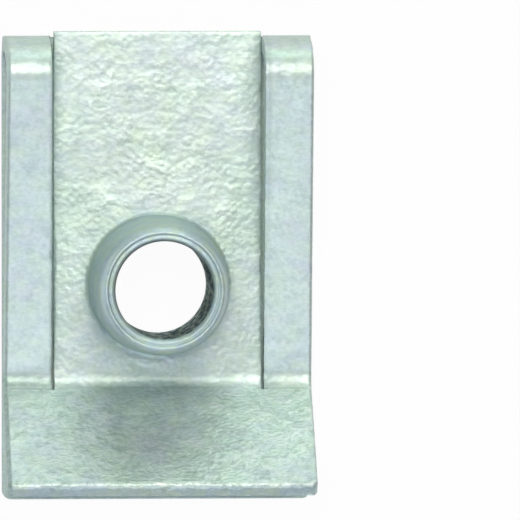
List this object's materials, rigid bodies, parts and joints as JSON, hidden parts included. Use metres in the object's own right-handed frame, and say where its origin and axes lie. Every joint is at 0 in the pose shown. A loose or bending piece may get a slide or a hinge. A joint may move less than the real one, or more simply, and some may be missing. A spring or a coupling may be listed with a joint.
{
  "type": "u clip speed nut",
  "caption": "Folded spring-steel clip that slides over a panel's edge and holds a long drawn barrel with an M8 thread behind the screw hole.",
  "frame": {"origin": "centre of the screw hole on the back leg's outer face, which is the face the clip lies on", "axes": "+Z along the screw's axis from the back leg toward the barrel's tip, +Y toward the bridge that goes over the panel's edge, X across the clip's width"},
  "size_m": [0.0218, 0.0331, 0.0114],
  "materials": {
    "zinc_flake_steel": "satin"
  },
  "bodies": {
    "root": {"clip_body": "zinc_flake_steel"}
  },
  "joints": []
}
